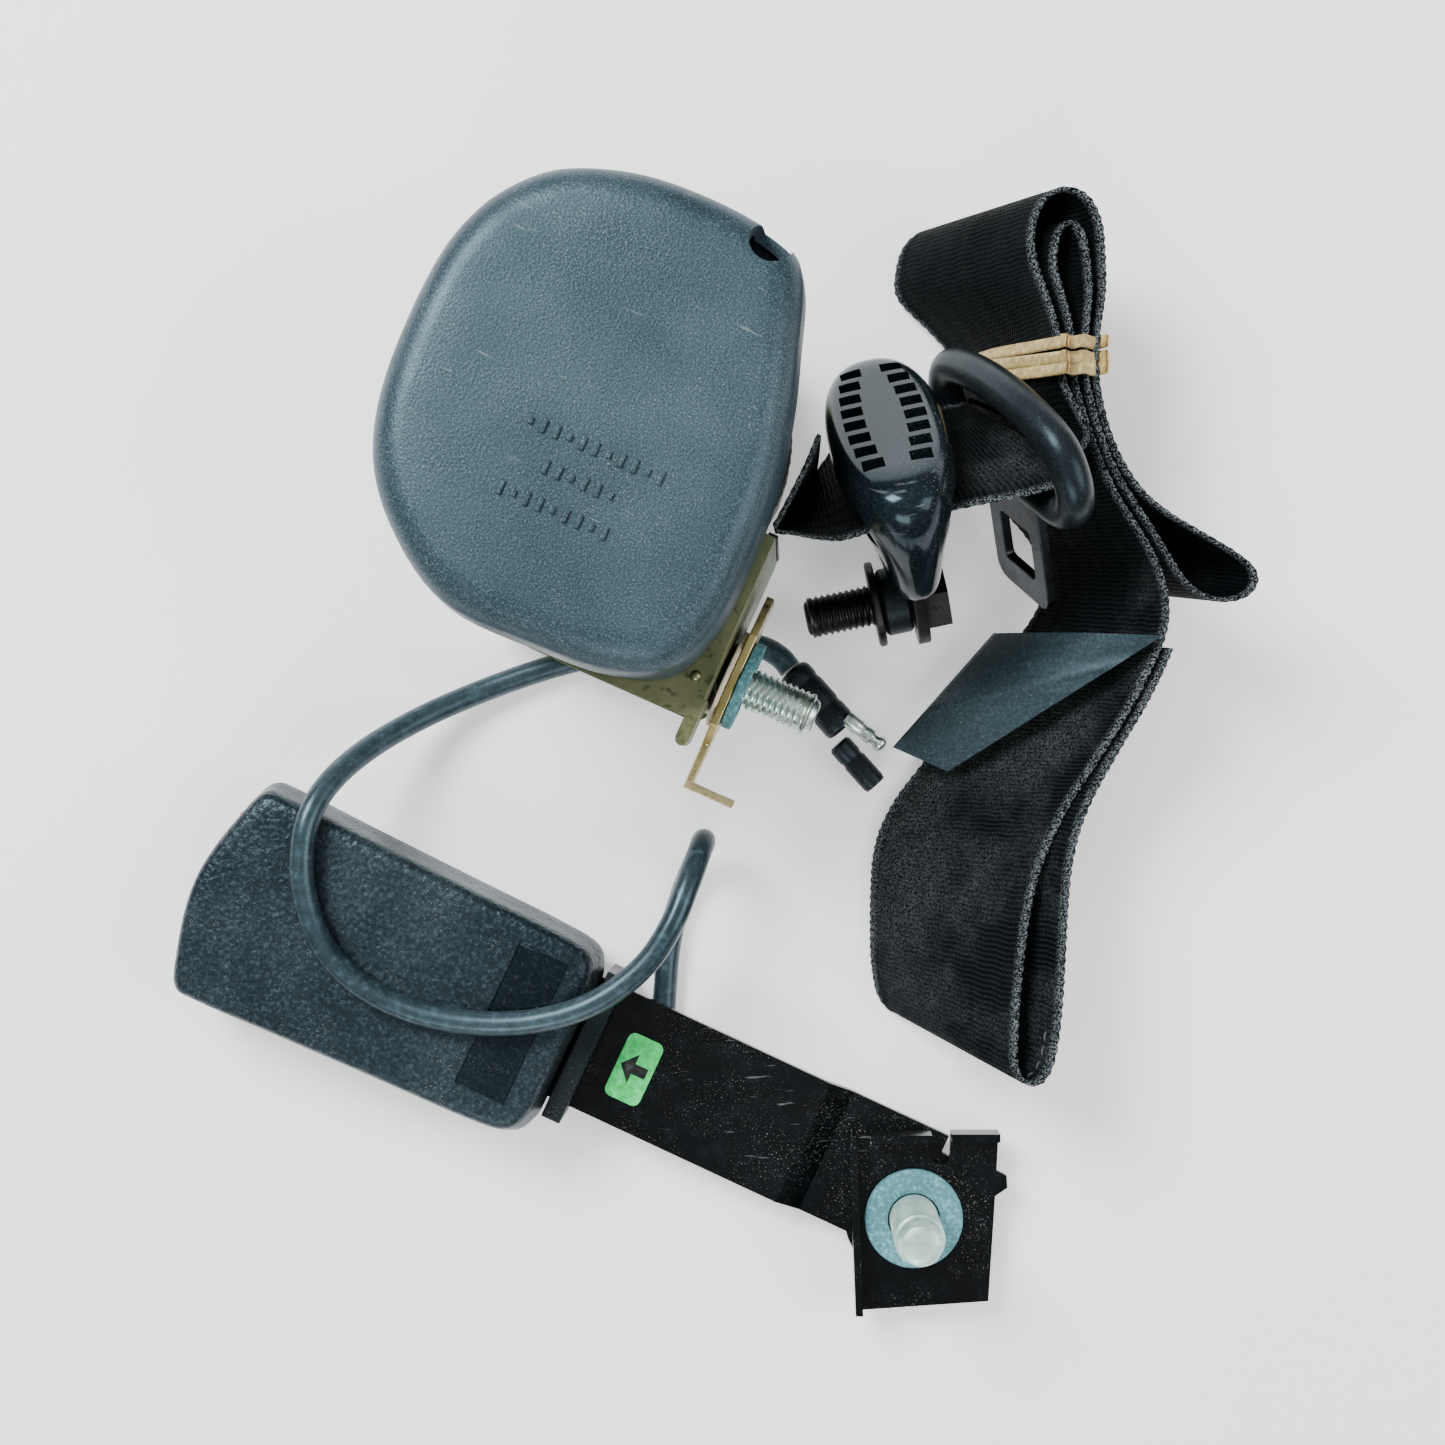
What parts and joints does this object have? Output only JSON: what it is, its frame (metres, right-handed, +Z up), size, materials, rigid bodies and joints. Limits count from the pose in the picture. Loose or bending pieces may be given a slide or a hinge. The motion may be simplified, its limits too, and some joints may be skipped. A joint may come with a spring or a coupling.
{
  "type": "vehicle seat belt set",
  "caption": "Three-point vehicle seat belt set lying loose: inertia-reel retractor, pillar guide loop, sliding tongue, folded webbing, and a push-button buckle on a steel stalk with a lead.",
  "frame": {"origin": "under the middle of the set's bounding box, on the table it lies on", "axes": "+Z up from the table; +Y from the buckle's anchor end towards the reel and the webbing's top loops, the longest way across the set; +X from the buckle towards the webbing"},
  "size_m": [0.2535, 0.2668, 0.088],
  "materials": {
    "cover_plastic": "fine-grained satin",
    "buckle_plastic": "coarse-grained satin",
    "black_plastic": "satin",
    "satin_plastic": "satin",
    "glossy_plastic": "gloss",
    "grey_plastic": "matte",
    "cream_nylon": "matte",
    "red_plastic": "gloss",
    "yellow_chromate": "passivated zinc",
    "gold_chromate": "passivated zinc",
    "zinc_plate": "bright zinc",
    "bare_steel": "satin",
    "dark_steel": "phosphated",
    "coated_stud": "thread-lock coating",
    "black_paint": "gloss",
    "fibre": "pressed fibre",
    "sticker": "gloss",
    "webbing": "ribbed weave",
    "vinyl": "satin",
    "band_rubber": "satin",
    "lead_jacket": "satin"
  },
  "bodies": {
    "belt_set": {"anchor_bracket": "black_paint", "anchor_washer": "fibre", "anti_turn_plate": "gold_chromate", "cover_clip": "zinc_plate", "fibre_washer": "fibre", "guide_bush": "black_plastic", "guide_washer": "dark_steel", "label_flap": "vinyl", "mechanism_cover": "cover_plastic", "pawl_pin": "zinc_plate", "retractor_frame": "yellow_chromate", "return_spring": "bare_steel", "rubber_band": "band_rubber", "sensor_ball": "zinc_plate", "sensor_housing": "grey_plastic", "spacer_washer": "cream_nylon", "spring_cover": "black_plastic", "tie_bar_left": "zinc_plate", "tie_bar_rear": "zinc_plate", "wave_washer": "dark_steel", "webbing_end_loop": "webbing", "webbing_folds": "webbing", "webbing_guide": "black_plastic", "webbing_lead": "webbing"},
    "spool": {"spool_shaft": "zinc_plate", "spool_core": "grey_plastic", "webbing_roll": "webbing", "ratchet_wheel": "zinc_plate", "spring_arbor": "grey_plastic"},
    "pawl": {"lock_pawl": "zinc_plate"},
    "sensor": {"sensor_lever": "grey_plastic"},
    "retractor_bolt": {"mount_bolt": "zinc_plate"},
    "loop": {"guide_loop_moulding": "glossy_plastic", "guide_loop_plate": "dark_steel"},
    "loop_bolt": {"guide_bolt": "dark_steel"},
    "tongue": {"tongue_blade": "bare_steel", "tongue_grip": "satin_plastic"},
    "anchor_stud": {"anchor_bolt": "coated_stud"},
    "buckle": {"buckle_upper_shell": "buckle_plastic", "buckle_lower_shell": "buckle_plastic", "neck_collar": "black_plastic", "buckle_frame": "bare_steel", "latch_pin": "zinc_plate", "spring_bridge": "grey_plastic", "contact_switch": "black_plastic", "stalk_strap": "black_paint", "strap_rivet_front": "zinc_plate", "strap_rivet_rear": "zinc_plate", "side_sticker": "sticker", "latch_spring": "bare_steel", "button_spring": "bare_steel", "ejector_spring": "bare_steel", "buckle_lead": "lead_jacket", "lead_sleeve": "black_plastic", "bullet_plug": "zinc_plate", "bullet_socket": "black_plastic"},
    "button": {"release_button": "red_plastic"},
    "latch": {"latch_plate": "bare_steel"},
    "ejector_slide": {"ejector": "grey_plastic"}
  },
  "joints": [
    {"name": "spool_spin", "type": "hinge", "parent": "belt_set", "child": "spool", "pos_m": [-0.01562, 0.08019, 0.04], "axis": [0, 0, 1], "continuous": true, "deforming": ["return_spring"]},
    {"name": "pawl_swing", "type": "hinge", "parent": "belt_set", "child": "pawl", "pos_m": [-0.0475, 0.0725, 0.0707], "axis": [0, 0, 1], "range_deg": [0, 12]},
    {"name": "sensor_tilt", "type": "hinge", "parent": "belt_set", "child": "sensor", "pos_m": [-0.03427, 0.0469, 0.0808], "axis": [-0.4067, -0.9135, 0], "range_deg": [0, 6]},
    {"name": "retractor_bolt_turn", "type": "hinge", "parent": "belt_set", "child": "retractor_bolt", "pos_m": [0.00125, 0.02342, 0.041], "axis": [0.9135, -0.4067, 0], "continuous": true},
    {"name": "loop_swivel", "type": "hinge", "parent": "belt_set", "child": "loop", "pos_m": [0.04965, 0.04325, 0.01405], "axis": [0.9779, 0.2061, 0.0357], "range_deg": [-1.5, 1.5]},
    {"name": "loop_bolt_turn", "type": "hinge", "parent": "belt_set", "child": "loop_bolt", "pos_m": [0.05141, 0.04362, 0.01412], "axis": [-0.9779, -0.2061, -0.0357], "continuous": true},
    {"name": "tongue_slide", "type": "slide", "parent": "belt_set", "child": "tongue", "axis": [-0.8869, -0.4089, 0.2149], "range_m": [0, 0.002]},
    {"name": "anchor_stud_turn", "type": "hinge", "parent": "belt_set", "child": "anchor_stud", "pos_m": [0.0495, -0.1087, 0.0036], "axis": [0, 0, 1], "continuous": true},
    {"name": "stalk_swing", "type": "hinge", "parent": "belt_set", "child": "buckle", "pos_m": [0.0495, -0.1087, 0.005], "axis": [0, 0, 1], "range_deg": [0, 6]},
    {"name": "button_press", "type": "slide", "parent": "buckle", "child": "button", "axis": [0.9063, -0.4226, 0], "range_m": [0, 0.0055], "stiffness_N_per_m": 450, "springref_m": -0.004, "deforming": ["button_spring"]},
    {"name": "latch_lift", "type": "hinge", "parent": "buckle", "child": "latch", "pos_m": [-0.07806, -0.04494, 0.0156], "axis": [0.4226, 0.9063, 0], "range_deg": [0, 8.05], "deforming": ["latch_spring"]},
    {"name": "ejector_push", "type": "slide", "parent": "buckle", "child": "ejector_slide", "axis": [0.9063, -0.4226, 0], "range_m": [0, 0.005], "stiffness_N_per_m": 250, "springref_m": -0.004, "deforming": ["ejector_spring"]}
  ],
  "couplings": [
    {"joint": "latch_lift", "follows": "button_press", "rad_per_m": 25.4},
    {"joint": "sensor_tilt", "follows": "pawl_swing", "ratio": 0.5}
  ]
}
